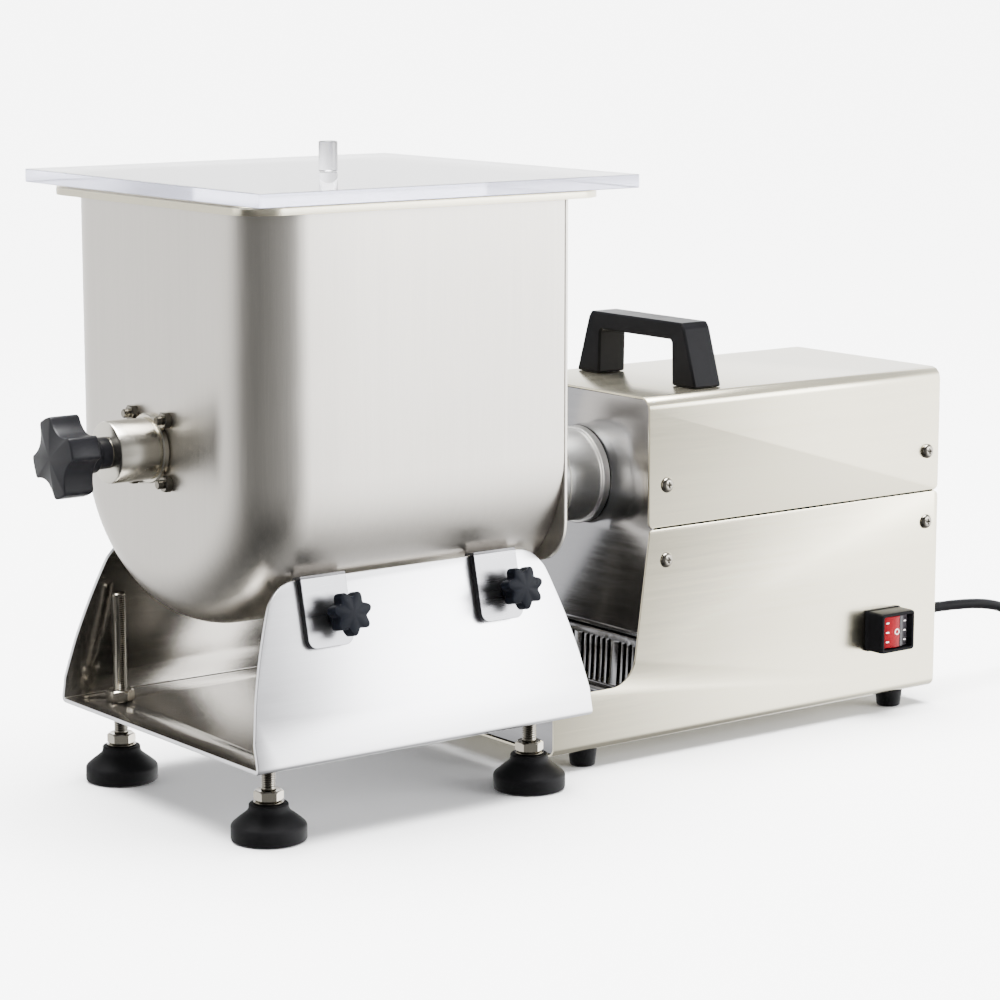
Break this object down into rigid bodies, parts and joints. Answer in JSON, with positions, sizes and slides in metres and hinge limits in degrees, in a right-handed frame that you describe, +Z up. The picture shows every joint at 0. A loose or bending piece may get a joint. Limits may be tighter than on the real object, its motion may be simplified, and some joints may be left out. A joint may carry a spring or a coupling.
{
  "type": "motorised meat mixer",
  "caption": "Countertop meat mixer: U-shaped stainless tank with a clear lid on a folded stand, paddle shaft with star knob, coupled by a neck tube to a boxed motor with a bridge handle.",
  "frame": {"origin": "on the tabletop, under the middle of the machine without its cord", "axes": "+X along the paddle shaft from the shaft knob to the motor, -Y the side with the rocker switch, +Z up"},
  "size_m": [0.967, 0.2983, 0.4435],
  "materials": {
    "brushed_stainless": "satin brushed stainless sheet",
    "machined_steel": "machined steel",
    "plated_steel": "bright plated fasteners",
    "clear_acrylic": "clear acrylic sheet with polished edges",
    "black_plastic": "satin moulded plastic",
    "red_rocker": "glossy red rocker",
    "black_rubber": "moulded rubber",
    "cord_jacket": "smooth flexible jacket"
  },
  "bodies": {
    "base": {"adapter_tube": "brushed_stainless", "bearing_housing": "brushed_stainless", "carry_handle": "black_plastic", "cord_coil": "cord_jacket", "cord_gland": "black_plastic", "front_panel": "brushed_stainless", "gear_case": "brushed_stainless", "housing_bolt_1": "plated_steel", "housing_bolt_2": "plated_steel", "housing_bolt_3": "plated_steel", "housing_bolt_4": "plated_steel", "housing_flange": "brushed_stainless", "lock_nut_1": "plated_steel", "lock_nut_2": "plated_steel", "lock_nut_3": "plated_steel", "lock_nut_4": "plated_steel", "lower_cover": "brushed_stainless", "neck_tube": "brushed_stainless", "plug": "black_plastic", "rear_panel": "brushed_stainless", "rubber_foot_1": "black_rubber", "rubber_foot_2": "black_rubber", "rubber_foot_3": "black_rubber", "rubber_foot_4": "black_rubber", "stand": "brushed_stainless", "stator": "machined_steel", "supply_cord": "cord_jacket", "switch_frame": "black_plastic", "tank_bracket_1": "brushed_stainless", "tank_bracket_2": "brushed_stainless", "tank_bracket_3": "brushed_stainless", "tank_bracket_4": "brushed_stainless", "tank_end_plate": "brushed_stainless", "tank_rim": "brushed_stainless", "tank_shell": "brushed_stainless", "upper_cover": "brushed_stainless"},
    "lid": {"lid_panel": "clear_acrylic", "lid_peg": "clear_acrylic"},
    "paddle_shaft": {"paddle_shaft": "brushed_stainless", "paddle_front": "brushed_stainless", "paddle_rear": "brushed_stainless", "driven_gear": "machined_steel"},
    "shaft_knob": {"shaft_knob": "black_plastic"},
    "input_drive": {"input_shaft": "machined_steel", "drive_pinion": "machined_steel", "output_gear": "machined_steel"},
    "rotor": {"rotor": "machined_steel"},
    "rocker": {"switch_rocker": "red_rocker"},
    "foot_1": {"foot_pad_1": "black_rubber", "foot_stud_1": "plated_steel"},
    "clamp_knob_1": {"clamp_knob_1": "black_plastic"},
    "foot_2": {"foot_pad_2": "black_rubber", "foot_stud_2": "plated_steel"},
    "clamp_knob_2": {"clamp_knob_2": "black_plastic"},
    "foot_3": {"foot_pad_3": "black_rubber", "foot_stud_3": "plated_steel"},
    "clamp_knob_3": {"clamp_knob_3": "black_plastic"},
    "foot_4": {"foot_pad_4": "black_rubber", "foot_stud_4": "plated_steel"},
    "clamp_knob_4": {"clamp_knob_4": "black_plastic"}
  },
  "joints": [
    {"name": "lid_lift", "type": "slide", "parent": "base", "child": "lid", "axis": [0, 0, 1], "range_m": [0, 0.15]},
    {"name": "paddle_spin", "type": "hinge", "parent": "base", "child": "paddle_shaft", "pos_m": [-0.1565, 0, 0.248], "axis": [1, 0, 0], "continuous": true},
    {"name": "shaft_knob_turn", "type": "hinge", "parent": "paddle_shaft", "child": "shaft_knob", "pos_m": [-0.35, 0, 0.248], "axis": [1, 0, 0], "continuous": true},
    {"name": "input_spin", "type": "hinge", "parent": "base", "child": "input_drive", "pos_m": [0.07, 0, 0.1955], "axis": [1, 0, 0], "continuous": true},
    {"name": "rotor_spin", "type": "hinge", "parent": "base", "child": "rotor", "pos_m": [0.2, 0, 0.1405], "axis": [1, 0, 0], "continuous": true},
    {"name": "rocker_tilt", "type": "hinge", "parent": "base", "child": "rocker", "pos_m": [0.292, -0.0951, 0.0658], "axis": [0, 0, 1], "range_deg": [-9, 9]},
    {"name": "clamp_knob_1_turn", "type": "hinge", "parent": "base", "child": "clamp_knob_1", "pos_m": [-0.2215, -0.10676, 0.145], "axis": [0, -0.9744, 0.225], "continuous": true},
    {"name": "clamp_knob_2_turn", "type": "hinge", "parent": "base", "child": "clamp_knob_2", "pos_m": [-0.2215, 0.10676, 0.145], "axis": [0, 0.9744, 0.225], "continuous": true},
    {"name": "clamp_knob_3_turn", "type": "hinge", "parent": "base", "child": "clamp_knob_3", "pos_m": [-0.0823, -0.10676, 0.145], "axis": [0, -0.9744, 0.225], "continuous": true},
    {"name": "clamp_knob_4_turn", "type": "hinge", "parent": "base", "child": "clamp_knob_4", "pos_m": [-0.0823, 0.10676, 0.145], "axis": [0, 0.9744, 0.225], "continuous": true},
    {"name": "foot_1_height", "type": "slide", "parent": "base", "child": "foot_1", "axis": [0, 0, 1], "range_m": [-0.05, 0.018]},
    {"name": "foot_2_height", "type": "slide", "parent": "base", "child": "foot_2", "axis": [0, 0, 1], "range_m": [-0.05, 0.018]},
    {"name": "foot_3_height", "type": "slide", "parent": "base", "child": "foot_3", "axis": [0, 0, 1], "range_m": [-0.05, 0.018]},
    {"name": "foot_4_height", "type": "slide", "parent": "base", "child": "foot_4", "axis": [0, 0, 1], "range_m": [-0.05, 0.018]}
  ],
  "couplings": [
    {"joint": "input_spin", "follows": "paddle_spin", "ratio": -2.8182},
    {"joint": "rotor_spin", "follows": "paddle_spin", "ratio": 9.5818}
  ]
}
